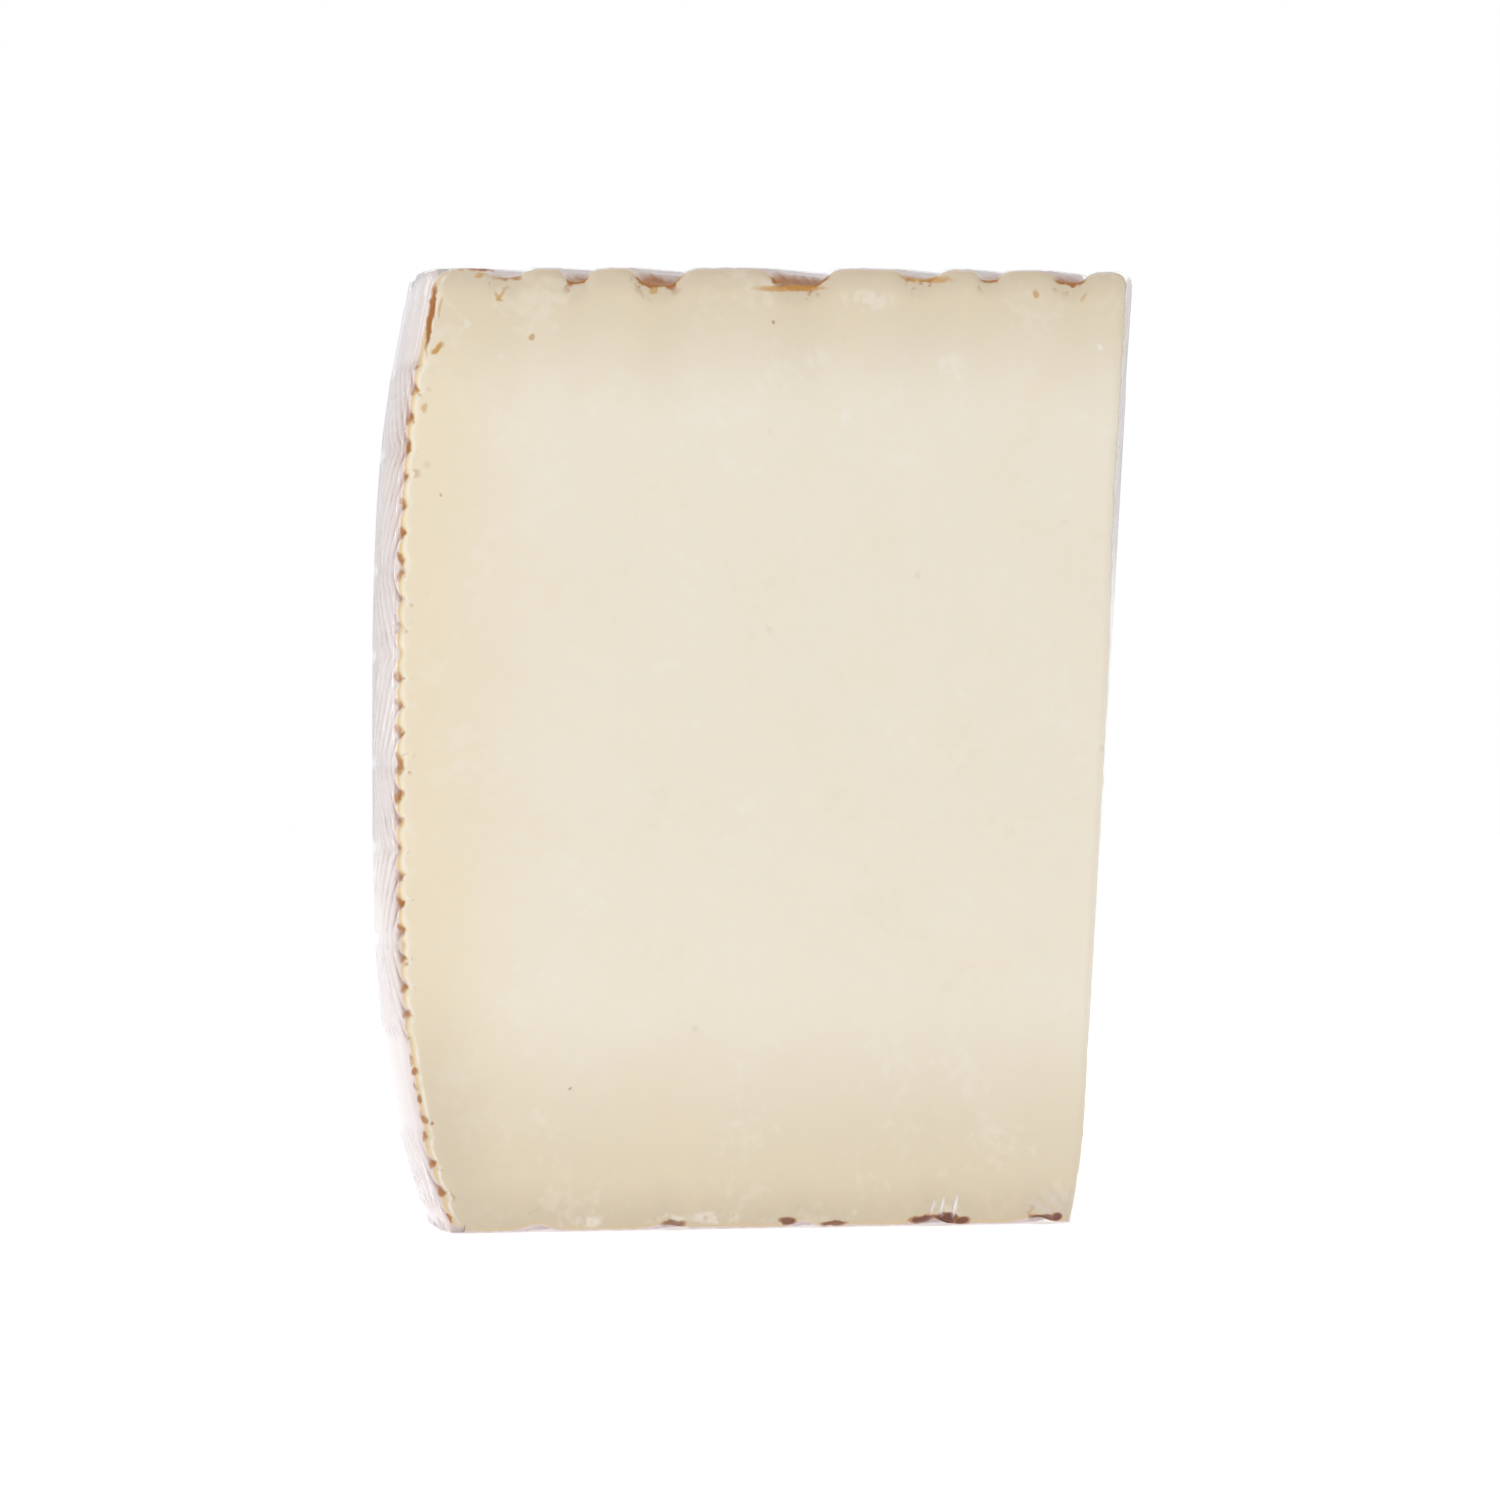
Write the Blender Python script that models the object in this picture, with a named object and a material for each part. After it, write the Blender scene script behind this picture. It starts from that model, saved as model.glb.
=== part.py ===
# A wedge of pressed cheese, about an eighth of a tall wheel.
# The wall of the wheel carries bands of slanting strands left by a plaited mould.
# Its two flat faces carry rows of leaves on both sides of a stem.
# The origin is at the middle of the footprint, the front cut faces -Y, and the tip is at +X.
import math
import random

import bmesh
import bpy

# The wheel
wheel_radius = 0.092  # over the strands, at mid height
wheel_height = 0.120
top_fall = 0.0012  # the upper face is this much lower at the rim than at the axis
draw_in_top = 0.0052  # how much less the radius is at the top than at mid height
draw_in_bottom = 0.0074
draw_curve_top = 3.2  # power of the barrel's curve, higher keeps the middle straighter
draw_curve_bottom = 3.0
rim_round = 0.0025  # radius of the rounded edge between wall and flat faces
rim_margin = 0.0002  # the rounded edge ends this far past the flat faces, which cut it

# The two cuts
axis_behind_front_cut = 0.010  # the front cut passes this far in front of the wheel's axis
tip_from_axis = -0.0008  # where the tip is along the front cut, at mid height
wedge_angle = math.radians(45)
tip_lean = 0.058  # how far the tip moves out for each unit of height
tip_tuck = 0.0012  # the foot of the tip is drawn in by this more
tip_tuck_height = 0.014
tip_round = 0.0013
tip_steps = 6  # faces round the tip

# The plaited wall: each band's height from the top down, and how its strands lean.
# 1 rises and -1 falls on the way round from the front cut, and 0 is a smooth belt.
wall_bands = (
    (0.0130, 0),
    (0.0103, 1),
    (0.0147, -1),
    (0.0106, 1),
    (0.0136, -1),
    (0.0104, 1),
    (0.0118, -1),
    (0.0119, 1),
    (0.0112, 0),
    (0.0125, 1),
)
strand_pitch = 0.0034  # from strand to strand, along the wall and up it
strand_depth = 0.0010
strand_uneven = 0.25  # share by which the depth differs from strand to strand
band_groove = 0.0011  # depth of the line where two bands meet
belt_depth = 0.0006  # how far a smooth belt lies below the strands
strand_back = 2.5  # power of a strand's round back, higher is flatter
strand_numbers = range(-5, 30)  # enough strands to reach past both cuts
strand_samples = (0.0, 0.25, 0.5, 0.75)  # places across a strand that get a vertical line
band_samples = (0.0, 0.2, 0.8)  # places down a band that get a ring

# The pressed leaves
leaf_slant = math.radians(60)  # between a leaf and its stem
stem_groove_half = 0.0018
stem_groove_depth = 0.0009
top_leaves = {
    "turn": math.radians(17),  # between the stem and the front cut, as seen from above
    "pitch": 0.0102,  # from groove to groove, along the stem
    "start": 0.45,  # the first groove's place, as a share of the pitch
    "uneven": 0.37,  # share of the pitch by which a groove may be out of place
    "depth": (0.0006, 0.0019),  # of the shallowest and the deepest groove
    "half_width": (0.0012, 0.0034),  # of the narrowest and the widest groove, along the stem
    "crown": 0.0003,  # how far the middle of a leaf stands above its edges
    "seed": 23884,
}
bottom_leaves = {
    "turn": math.radians(23),
    "pitch": 0.0110,
    "start": 0.75,
    "uneven": 0.15,
    "depth": (0.0004, 0.0010),
    "half_width": (0.0016, 0.0024),
    "crown": 0.0,  # pressed flat by the cheese's own weight
    "seed": 35731,
}
groove_numbers = range(-4, 14)
groove_section = ((-1, 0.0), (-0.5, 0.6), (0, 1.0), (0.5, 0.6), (1, 0.0))  # places across, and depths
stem_section = ((0.0, 1.0), (0.5, 0.7), (1.0, 0.0))
narrowest_leaf = 0.2  # a leaf keeps at least this share of the way between two grooves
line_step = 0.006  # between lines beside the stem
line_count = 9
wall_seed = 5

# Spare material that the cuts take away
spare = 0.030
spare_height = 0.004
spare_slope = 2.5  # how fast the spare top narrows

rim_top = wheel_height - top_fall + rim_margin  # where the upper rounded edge ends

# The middle of the footprint, measured from the wheel's axis
tip_top_reach = tip_from_axis + tip_lean * wheel_height / 2
middle_x = (tip_top_reach - wheel_radius) / 2
back_reach = 0.0609  # the back corner of the rind lies this far behind the axis
middle_y = (back_reach - axis_behind_front_cut) / 2
front_edge_angle = math.pi + math.asin(axis_behind_front_cut / wheel_radius)


def clear_scene():
    for thing in list(bpy.data.objects):
        bpy.data.objects.remove(thing, do_unlink=True)


def new_object(name, bm):
    bmesh.ops.recalc_face_normals(bm, faces=bm.faces)
    mesh = bpy.data.meshes.new(name)
    bm.to_mesh(mesh)
    bm.free()
    thing = bpy.data.objects.new(name, mesh)
    bpy.context.scene.collection.objects.link(thing)
    thing.location = (-middle_x, -middle_y, 0)
    return thing


def body_from_rings(name, rings):
    """Joins rings of equally many points, one above another, and closes both ends."""
    bm = bmesh.new()
    loops = [[bm.verts.new(point) for point in ring] for ring in rings]
    count = len(loops[0])
    for low, high in zip(loops, loops[1:]):
        for i in range(count):
            j = (i + 1) % count
            bm.faces.new((low[i], low[j], high[j], high[i]))
    bm.faces.new(list(reversed(loops[0])))
    bm.faces.new(loops[-1])
    bmesh.ops.triangulate(bm, faces=bm.faces)
    return new_object(name, bm)


# Wall of the wheel


def barrel_radius(z):
    """Radius over the strands, drawn in towards both ends and rounded at the rims."""
    half = wheel_height / 2
    off = (z - half) / half
    if off > 0:
        radius = wheel_radius - draw_in_top * min(off, 1) ** draw_curve_top
    else:
        radius = wheel_radius - draw_in_bottom * min(-off, 1) ** draw_curve_bottom
    into_rim = max(z - rim_top, -rim_margin - z) + rim_round
    if into_rim > 0:
        rise = min(into_rim, rim_round)
        radius -= rim_round - math.sqrt(rim_round**2 - rise**2) + spare_slope * (into_rim - rise)
    return radius


def wall_levels():
    """Heights of the rings from the top down, each with its sideways shift and its relief."""
    rim_drops = [rim_round * (1 - math.sin(math.radians(turn))) for turn in (90, 60, 30)]
    levels = [(wheel_height + spare_height, 0.0, belt_depth, 0.0)]
    levels += [(rim_top - drop, 0.0, belt_depth, 0.0) for drop in rim_drops]
    z, shift = wheel_height, 0.0
    for height, lean in wall_bands:
        for share in band_samples:
            level = z - share * height
            if rim_round < level < rim_top - rim_round:  # clear of the rounded edges
                at_edge = share == 0.0
                sunk = band_groove if at_edge else (belt_depth if lean == 0 else 0.0)
                relief = 0.0 if at_edge or lean == 0 else 1.0
                levels.append((level, shift + lean * share * height, sunk, relief))
        z -= height
        shift += lean * height
    levels += [(drop - rim_margin, shift, belt_depth, 0.0) for drop in reversed(rim_drops)]
    return levels


def across_strand(share):
    """Height of a strand's round back, from 0 in the groove to 1 on the crest."""
    return 1 - abs(2 * share - 1) ** strand_back


def wall_body():
    rng = random.Random(wall_seed)
    depths = {n: strand_depth * (1 + rng.uniform(-strand_uneven, strand_uneven)) for n in strand_numbers}
    rings = []
    for z, shift, sunk, relief in wall_levels():
        ring = []
        for strand in strand_numbers:
            for share in strand_samples:
                along = (strand + share) * strand_pitch - shift
                angle = front_edge_angle - along / wheel_radius
                groove = depths[strand] * relief * (1 - across_strand(share))
                radius = barrel_radius(z) - sunk - groove
                ring.append((radius * math.cos(angle), radius * math.sin(angle), z))
        ring.append((spare, -spare, z))
        rings.append(ring)
    return body_from_rings("cheese_wedge", rings)


# Flat faces with pressed leaves


def leaf_grooves(leaves):
    """Each groove's place along the stem, its depth and half its width, drawn at random."""
    rng = random.Random(leaves["seed"])
    grooves = []
    for number in groove_numbers:
        place = number + leaves["start"] + rng.uniform(-leaves["uneven"], leaves["uneven"])
        depth = rng.uniform(*leaves["depth"])
        grooves.append((place * leaves["pitch"], depth, rng.uniform(*leaves["half_width"])))
    return grooves


def leaf_lines(leaves):
    """Lines across the stem: their place along it, how deep they lie, and if they are a crown."""
    grooves = leaf_grooves(leaves)
    lines = []
    for before, groove, after in zip(grooves, grooves[1:], grooves[2:]):
        place, depth, half = groove
        room = min(place - before[0], after[0] - place) * (1 - narrowest_leaf) / 2
        half = min(half, room)
        for share, sunk in groove_section:
            lines.append((place + share * half, sunk * depth, 0.0))
        lines.append(((place + after[0]) / 2, 0.0, 1.0))
    return lines


def stem_lines():
    """Lines along the stem: their distance from it, and the share of the stem's own groove."""
    side = [(share * stem_groove_half, sunk) for share, sunk in stem_section]
    side += [(stem_groove_half + step * line_step, 0.0) for step in range(1, line_count + 1)]
    return [(-away, sunk) for away, sunk in reversed(side[1:])] + side


def leaf_points(leaves, level, inward, fall):
    """A grid of points over one flat face, leaf_lines by stem_lines."""
    stem = math.pi - leaves["turn"]
    along_x, along_y = math.cos(stem), math.sin(stem)
    rows = []
    for place, sunk, crest in leaf_lines(leaves):
        row = []
        for away, stem_share in stem_lines():
            along = place + abs(away) / math.tan(leaf_slant)
            x = along * along_x - away * along_y
            y = along * along_y + away * along_x
            below_crown = leaves["crown"] * (1 - crest * (1 - stem_share))
            deep = below_crown + max(sunk, stem_share * stem_groove_depth)
            deep += fall * (along**2 + away**2) / wheel_radius**2
            row.append((x, y, level + inward * deep))
        rows.append(row)
    return rows


def border(grid):
    """The points round the edge of a grid, in order."""
    first, last = grid[0], grid[-1]
    right = [row[-1] for row in grid[1:-1]]
    left = [row[0] for row in grid[1:-1]]
    return first + right + last[::-1] + left[::-1]


def leaf_slab():
    """A slab with both flat faces, wider than the wheel all round."""
    bm = bmesh.new()
    top_points = leaf_points(top_leaves, wheel_height, -1, top_fall)
    low_points = leaf_points(bottom_leaves, 0.0, 1, 0.0)
    top = [[bm.verts.new(point) for point in row] for row in top_points]
    low = [[bm.verts.new(point) for point in row] for row in low_points]
    for grid in (top, low):
        for row, after in zip(grid, grid[1:]):
            for i in range(len(row) - 1):
                bm.faces.new((row[i], row[i + 1], after[i + 1], after[i]))

    above, below = border(top), border(low)
    for i in range(len(above)):
        j = (i + 1) % len(above)
        bm.faces.new((above[i], above[j], below[j], below[i]))
    bmesh.ops.triangulate(bm, faces=bm.faces)
    return new_object("leaf_slab", bm)


# The two cuts


def tip_place(z):
    """How far the tip lies along the front cut at a height."""
    low = max(0.0, 1 - z / tip_tuck_height)
    return tip_from_axis + tip_lean * (z - wheel_height / 2) - tip_tuck * low**2


def cut_ring(z):
    """The wedge as seen from above at one height, with a round tip."""
    front = -axis_behind_front_cut
    back = (-math.cos(wedge_angle), math.sin(wedge_angle))
    centre = (tip_place(z) - tip_round, front + tip_round)
    ring = [(-wheel_radius - spare, front, z)]
    for step in range(tip_steps + 1):
        angle = -math.pi / 2 + (math.pi - wedge_angle) * step / tip_steps
        x = centre[0] + tip_round * math.cos(angle)
        y = centre[1] + tip_round * math.sin(angle)
        ring.append((x, y, z))
    reach = wheel_radius + spare
    ring.append((ring[-1][0] + reach * back[0], ring[-1][1] + reach * back[1], z))
    ring.append((-wheel_radius - spare, ring[-1][1], z))
    return ring


def cut_tool():
    levels = [-spare_height] + [share * tip_tuck_height for share in (0, 0.2, 0.5, 1)]
    levels += [wheel_height / 2, wheel_height + spare_height]
    return body_from_rings("cut_tool", [cut_ring(z) for z in levels])


def keep_inside(thing, tool):
    """Keeps the part of a body that lies inside a tool."""
    tool.hide_render = True
    tool.display_type = "WIRE"
    boolean = thing.modifiers.new("inside_" + tool.name, "BOOLEAN")
    boolean.operation = "INTERSECT"
    boolean.solver = "EXACT"
    boolean.object = tool


def cheese_material():
    material = bpy.data.materials.new("cheese")
    material.use_nodes = True
    shader = material.node_tree.nodes["Principled BSDF"]
    shader.inputs["Base Color"].default_value = (0.81, 0.73, 0.60, 1.0)
    shader.inputs["Roughness"].default_value = 0.35
    shader.inputs["Metallic"].default_value = 0.0
    return material


clear_scene()
wedge = wall_body()
keep_inside(wedge, leaf_slab())
keep_inside(wedge, cut_tool())
wedge.data.materials.append(cheese_material())
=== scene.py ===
import math
import random

import bpy
import numpy as np
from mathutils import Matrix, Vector


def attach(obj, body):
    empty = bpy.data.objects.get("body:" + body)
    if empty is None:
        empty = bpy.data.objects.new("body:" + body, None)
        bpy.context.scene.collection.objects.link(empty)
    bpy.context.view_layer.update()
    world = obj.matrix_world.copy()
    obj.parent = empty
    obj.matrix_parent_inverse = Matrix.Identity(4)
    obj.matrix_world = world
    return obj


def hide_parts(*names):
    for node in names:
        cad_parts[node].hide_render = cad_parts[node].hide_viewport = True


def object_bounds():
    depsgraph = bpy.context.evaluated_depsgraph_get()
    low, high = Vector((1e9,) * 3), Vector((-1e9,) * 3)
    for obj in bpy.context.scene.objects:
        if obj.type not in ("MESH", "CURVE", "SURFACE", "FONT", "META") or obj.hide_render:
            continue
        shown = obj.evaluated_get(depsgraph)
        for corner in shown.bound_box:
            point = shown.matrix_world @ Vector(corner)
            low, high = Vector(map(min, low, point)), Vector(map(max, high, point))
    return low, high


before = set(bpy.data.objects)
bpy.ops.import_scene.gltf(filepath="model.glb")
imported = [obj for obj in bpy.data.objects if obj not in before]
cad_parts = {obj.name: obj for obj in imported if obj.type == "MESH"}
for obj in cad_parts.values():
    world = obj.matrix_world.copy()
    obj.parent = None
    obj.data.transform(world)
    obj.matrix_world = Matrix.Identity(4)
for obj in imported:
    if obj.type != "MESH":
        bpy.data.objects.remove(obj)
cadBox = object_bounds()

solidName = "cheese_wedge"
mm = 0.001

# The wheel, nearly as the solid has it
wheel = {
    "radius": 0.092,  # over the strands, at mid height
    "height": 0.120,
    "topFall": 0.0012,  # the upper face is this much lower at the rim
    "drawInTop": 0.0052,
    "drawInBottom": 0.0071,
    "curveTop": 3.2,
    "curveBottom": 3.5,
    "rimRound": 0.0025,
    "rimMargin": 0.0002,
}
cut = {
    "axisBehind": 0.010,  # how far the wheel's axis lies behind the front cut
    "tipFromAxis": -0.0008,
    "angle": math.radians(45),
    "lean": 0.058,  # how far the tip moves out for each unit of height
    "tuck": 0.0012,
    "tuckHeight": 0.014,
    "tipRound": 0.0013,
}
frontY = cadBox[0].y
axisX = cadBox[0].x + wheel["radius"]
axisY = frontY + cut["axisBehind"]
edgeAngle = math.pi + math.asin(cut["axisBehind"] / wheel["radius"])
backNormal = (math.sin(cut["angle"]), math.cos(cut["angle"]))


# Small helpers for numbers that change smoothly

# Rises from 0 at low to 1 at high; low may be the larger
def smooth(low, high, value):
    t = np.clip((value - low) / (high - low), 0, 1)
    return t * t * (3 - 2 * t)


# A soft random swell between about -1 and 1, made of a few sines
def waves(seed, count, length, *coords):
    rng = random.Random(seed)
    total = 0
    for _ in range(count):
        turns = [rng.gauss(0, 1) for _ in coords]
        size = math.sqrt(sum(t * t for t in turns))
        phase = rng.uniform(0, 2 * math.pi)
        scale = 2 * math.pi / (length * rng.uniform(0.6, 1.6))
        total = total + np.sin(sum(c * t / size for c, t in zip(coords, turns)) * scale + phase)
    return total / math.sqrt(count)


# The plaited wall

plait = {
    "bands": (  # height from the top down, and which way the strands lean
        (0.0130, 0), (0.0103, 1), (0.0147, -1), (0.0106, 1), (0.0136, -1),
        (0.0104, 1), (0.0118, -1), (0.0119, 1), (0.0112, 0), (0.0125, 1),
    ),
    "pitch": 0.0034,
    "depth": 0.0010,
    "uneven": 0.25,
    "bandGroove": 0.0011,
    "beltDepth": 0.0006,
    "back": 2.5,  # roundness of a strand's back
    "fade": 0.10,  # share of a band in which its strands rise and end
    "rimFade": (0.0005, 0.004),  # heights between which the strands rise, at both rims
    "first": -5,
    "last": 30,
    "seed": 5,
}
bandTops = np.cumsum([0.0] + [h for h, _ in plait["bands"]])
bandHeights = np.array([h for h, _ in plait["bands"]])
bandLeans = np.array([lean for _, lean in plait["bands"]])
bandShifts = np.concatenate([[0.0], np.cumsum(bandHeights * bandLeans)])
strandRng = random.Random(plait["seed"])
strandDepths = np.array([
    plait["depth"] * (1 + strandRng.uniform(-plait["uneven"], plait["uneven"]))
    for _ in range(plait["first"], plait["last"])
])


def barrelRadius(z):
    half = wheel["height"] / 2
    off = (z - half) / half
    inTop = wheel["drawInTop"] * np.clip(off, 0, 1) ** wheel["curveTop"]
    inBottom = wheel["drawInBottom"] * np.clip(-off, 0, 1) ** wheel["curveBottom"]
    rimTop = wheel["height"] - wheel["topFall"] + wheel["rimMargin"]
    intoRim = np.maximum(z - rimTop, -wheel["rimMargin"] - z) + wheel["rimRound"]
    rise = np.clip(intoRim, 0, wheel["rimRound"])
    rim = wheel["rimRound"] - np.sqrt(wheel["rimRound"] ** 2 - rise ** 2)
    return wheel["radius"] - inTop - inBottom - rim


# How deep the wall lies below its crests, and how much of that is the line between bands
def plaitRelief(angle, z):
    down = np.clip(wheel["height"] - z, 0, wheel["height"] - 1e-6)
    band = np.clip(np.searchsorted(bandTops, down, side="right") - 1, 0, len(bandHeights) - 1)
    share = (down - bandTops[band]) / bandHeights[band]
    shift = bandShifts[band] + bandLeans[band] * share * bandHeights[band]
    along = (edgeAngle - angle) * wheel["radius"]
    phase = (along + shift) / plait["pitch"]
    number = np.floor(phase).astype(int)
    across = 1 - np.abs(2 * (phase - number) - 1) ** plait["back"]
    inBand = smooth(0, plait["fade"], share) * smooth(0, plait["fade"], 1 - share)
    fromTop = wheel["height"] - wheel["topFall"] - z
    nearRim = np.minimum(smooth(*plait["rimFade"], z), smooth(*plait["rimFade"], fromTop))
    isBelt = bandLeans[band] == 0
    depth = strandDepths[np.clip(number - plait["first"], 0, len(strandDepths) - 1)]
    strand = np.where(isBelt, 0, inBand * depth * (1 - across)) * nearRim
    line = (1 - inBand) * plait["bandGroove"] * nearRim
    belt = np.where(isBelt, plait["beltDepth"] * inBand, 0)
    atEdge = np.where(isBelt, down, shift) / plait["pitch"]
    return strand, line, belt, phase, atEdge


# The pressed leaves

leafSlant = math.radians(60)
stem = {"half": 0.0018, "depth": 0.0009}
rimDistance = 0.007  # leaves fade out this near to the rim
topLeaves = {
    "turn": math.radians(17), "pitch": 0.0102, "start": 0.45, "uneven": 0.37,
    "depth": (0.0006, 0.0019), "halfWidth": (0.0012, 0.0034), "crown": 0.0003, "seed": 23884,
    "wider": 1.25, "floor": 0.35,  # flatter valleys than the solid's
}
bottomLeaves = {
    "turn": math.radians(23), "pitch": 0.0110, "start": 0.75, "uneven": 0.15,
    "depth": (0.0004, 0.0010), "halfWidth": (0.0016, 0.0024), "crown": 0.0, "seed": 35731,
    "wider": 1.0, "floor": 0.0,
}
grooveNumbers = range(-4, 14)
narrowestLeaf = 0.2


def leafGrooves(leaves):
    rng = random.Random(leaves["seed"])
    grooves = []
    for number in grooveNumbers:
        place = number + leaves["start"] + rng.uniform(-leaves["uneven"], leaves["uneven"])
        depth = rng.uniform(*leaves["depth"])
        grooves.append((place * leaves["pitch"], depth, rng.uniform(*leaves["halfWidth"])))
    return grooves


# How deep a flat face lies below its crests, and the place along the leaf pattern
def leafRelief(leaves, x, y):
    turn = math.pi - leaves["turn"]
    alongX, alongY = math.cos(turn), math.sin(turn)
    dx, dy = x - axisX, y - axisY
    along = dx * alongX + dy * alongY
    away = dy * alongX - dx * alongY
    place = along - np.abs(away) / math.tan(leafSlant)
    grooves = leafGrooves(leaves)
    sunk = np.zeros_like(x)
    crest = np.zeros_like(x)
    for before, groove, after in zip(grooves, grooves[1:], grooves[2:]):
        at, depth, half = groove
        room = min(at - before[0], after[0] - at) * (1 - narrowestLeaf) / 2
        half = min(half * leaves["wider"], room)
        sunk = np.maximum(sunk, depth * smooth(half, half * leaves["floor"], np.abs(place - at)))
        inLeaf = (place >= at) & (place < after[0])
        t = (place - at) / (after[0] - at)
        crest = np.where(inLeaf, 1 - (2 * t - 1) ** 2, crest)
    s = np.clip(np.abs(away) / stem["half"], 0, 1)
    stemSunk = stem["depth"] * (0.5 + 0.5 * np.cos(math.pi * s))
    deep = np.maximum(sunk, stemSunk)
    fall = leaves["crown"] * (1 - crest)
    return deep, fall, place, away


def tipPlace(z):
    low = np.clip(1 - z / cut["tuckHeight"], 0, 1)
    return axisX + cut["tipFromAxis"] + cut["lean"] * (z - wheel["height"] / 2) - cut["tuck"] * low ** 2


# How far a point lies inside each surface of the wedge

# Depths below each surface; the shares say how much of strands, band lines, belts and leaves to follow
def depths(co, shares):
    x, y, z = co[:, 0], co[:, 1], co[:, 2]
    tip = tipPlace(z)
    r = cut["tipRound"]
    dx, dy = x - axisX, y - axisY
    away = np.hypot(dx, dy)
    angle = np.mod(np.arctan2(dy, dx), 2 * math.pi)
    strand, line, belt, phase, atEdge = plaitRelief(angle, z)
    deepTop, fallTop, placeTop, awayTop = leafRelief(topLeaves, x, y)
    deepLow, fallLow, placeLow, awayLow = leafRelief(bottomLeaves, x, y)
    ofStrand, ofLine, ofBelt, ofLeaf = shares
    toRim = smooth(0.001, rimDistance, barrelRadius(z) - away)
    deepTop, deepLow = deepTop * toRim, deepLow * toRim
    fall = wheel["topFall"] * away ** 2 / wheel["radius"] ** 2
    ax, ay = x - tip + r, y - frontY - r  # from the middle of the tip's rounding
    atTip = (ax > 0) & (ax * backNormal[1] - ay * backNormal[0] > 0)
    return {
        "arc": np.where(atTip, r - np.hypot(ax, ay), 1.0),
        "front": y - frontY,
        "back": r - ((x - tip + r) * backNormal[0] + (y - frontY - r) * backNormal[1]),
        "wall": barrelRadius(z) - ofStrand * strand - ofLine * line - ofBelt * belt - away,
        "top": wheel["height"] - fall - fallTop - ofLeaf * deepTop - z,
        "low": z - fallLow - ofLeaf * deepLow,
        "tip": tip - x,
        "strand": strand, "line": line, "phase": phase, "atEdge": atEdge,
        "deepTop": deepTop, "deepLow": deepLow,
        "placeTop": placeTop, "placeLow": placeLow, "awayTop": awayTop, "awayLow": awayLow,
    }


# The way into the cheese from a surface, at each point
def inward(name, co):
    way = np.zeros_like(co)
    if name == "front":
        way[:, 1] = 1
    elif name == "back":
        way[:, 0], way[:, 1] = -backNormal[0], -backNormal[1]
    elif name == "tip":
        way[:, 0] = -1
    elif name == "arc":
        r = cut["tipRound"]
        ax, ay = co[:, 0] - tipPlace(co[:, 2]) + r, co[:, 1] - frontY - r
        size = np.maximum(np.hypot(ax, ay), 1e-6)
        way[:, 0], way[:, 1] = -ax / size, -ay / size
    elif name == "wall":
        dx, dy = co[:, 0] - axisX, co[:, 1] - axisY
        away = np.maximum(np.hypot(dx, dy), 1e-6)
        way[:, 0], way[:, 1] = -dx / away, -dy / away
    else:
        way[:, 2] = -1 if name == "top" else 1
    return way


# Mesh work

flatFacing = 0.8  # how squarely a point faces along a cut to count as part of it
tipCorner = 0.0024  # radius of the wedge's upper tip corner, seen from the front
reachOfSettle = 0.0022  # points nearer than this to a surface are brought onto it
# how squarely a point has to face out of each surface, in the order in which they are worked on
surfaceFacing = {"front": 0.75, "back": 0.75, "arc": 0.3, "wall": 0.5, "top": 0.6, "low": 0.6}
footRounding = 0.6  # share of the rounding that the foot's edges get


def deselectAll():
    bpy.ops.object.select_all(action="DESELECT")


def workOn(piece):
    deselectAll()
    piece.select_set(True)
    bpy.context.view_layer.objects.active = piece


def meshPoints(piece):
    count = len(piece.data.vertices)
    co = np.zeros(count * 3)
    piece.data.vertices.foreach_get("co", co)
    normals = np.zeros(count * 3)
    piece.data.vertices.foreach_get("normal", normals)
    return co.reshape(-1, 3), normals.reshape(-1, 3)


def setPoints(piece, co):
    piece.data.vertices.foreach_set("co", co.ravel())
    piece.data.update()


# The solid as a fine even mesh, ready to be worked on
def copyOfSolid(name, voxel):
    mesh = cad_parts[solidName].data.copy()
    mesh.materials.clear()
    piece = bpy.data.objects.new(name, mesh)
    mesh.name = name
    bpy.context.scene.collection.objects.link(piece)
    workOn(piece)
    bpy.ops.object.mode_set(mode="EDIT")
    bpy.ops.mesh.select_all(action="SELECT")
    bpy.ops.mesh.remove_doubles(threshold=0.000001)
    bpy.ops.object.mode_set(mode="OBJECT")
    remesh = piece.modifiers.new("evenMesh", "REMESH")
    remesh.mode = "VOXEL"
    remesh.voxel_size = voxel
    remesh.adaptivity = 0
    bpy.ops.object.modifier_apply(modifier=remesh.name)
    return piece


# Selects the faces whose corners are all chosen
def facesOf(piece, chosen):
    workOn(piece)
    bpy.ops.object.mode_set(mode="EDIT")
    bpy.ops.mesh.select_mode(type="FACE")
    bpy.ops.mesh.select_all(action="DESELECT")
    bpy.ops.object.mode_set(mode="OBJECT")
    mesh = piece.data
    corners = np.zeros(len(mesh.loops), int)
    mesh.loops.foreach_get("vertex_index", corners)
    starts = np.zeros(len(mesh.polygons), int)
    mesh.polygons.foreach_get("loop_start", starts)
    inside = np.minimum.reduceat(chosen[corners].astype(int), starts) > 0
    mesh.polygons.foreach_set("select", inside)
    counts = np.diff(np.append(starts, len(corners)))
    points = np.zeros(len(chosen), bool)
    points[corners[np.repeat(inside, counts)]] = True
    mesh.vertices.foreach_set("select", points)
    mesh.update()
    bpy.ops.object.mode_set(mode="EDIT")


# Takes most faces away from the flat cuts, clear of their edges
def thinOutFlats(piece, margin, keep):
    co = meshPoints(piece)[0]
    d = depths(co, (1, 1, 1, 1))
    clear = np.minimum(np.minimum(d["wall"], d["top"]), d["low"]) > margin
    clear &= np.maximum(d["front"], d["back"]) > margin
    facesOf(piece, clear)
    bpy.ops.mesh.decimate(ratio=keep)
    bpy.ops.object.mode_set(mode="OBJECT")


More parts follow.
